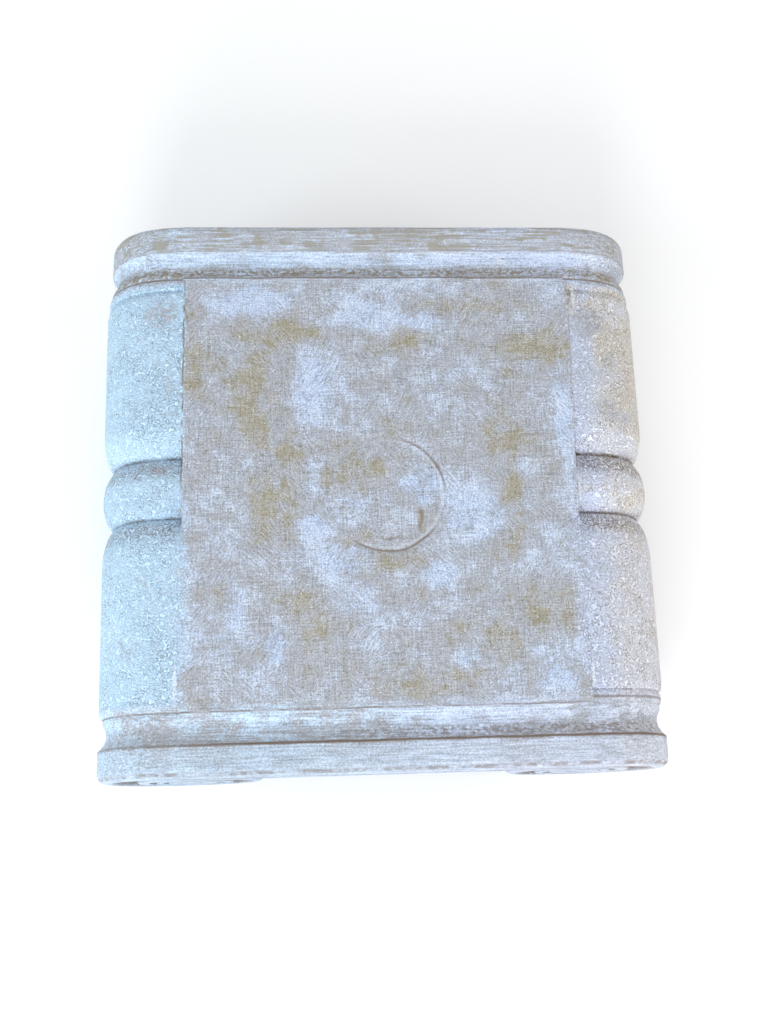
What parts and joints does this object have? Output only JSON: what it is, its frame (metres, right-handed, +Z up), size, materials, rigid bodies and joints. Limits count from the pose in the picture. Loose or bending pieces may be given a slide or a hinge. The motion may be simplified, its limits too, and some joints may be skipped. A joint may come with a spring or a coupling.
{
  "type": "ionic column capital",
  "caption": "Square column capital with belted rolls at the sides, scrolled rims front and back, a flat top panel and an egg moulding on a round neck.",
  "frame": {"origin": "centre of the round foot of the neck, on the surface that the capital stands on", "axes": "+Z up, +X to the right seen from the front, +Y from the front volutes to the back volutes, along the rolls"},
  "size_m": [0.464, 0.462, 0.15],
  "materials": {
    "limewashed_plaster": "worn pale blue-grey limewash over tan cast plaster, matt"
  },
  "bodies": {
    "root": {"capital": "limewashed_plaster"}
  },
  "joints": []
}
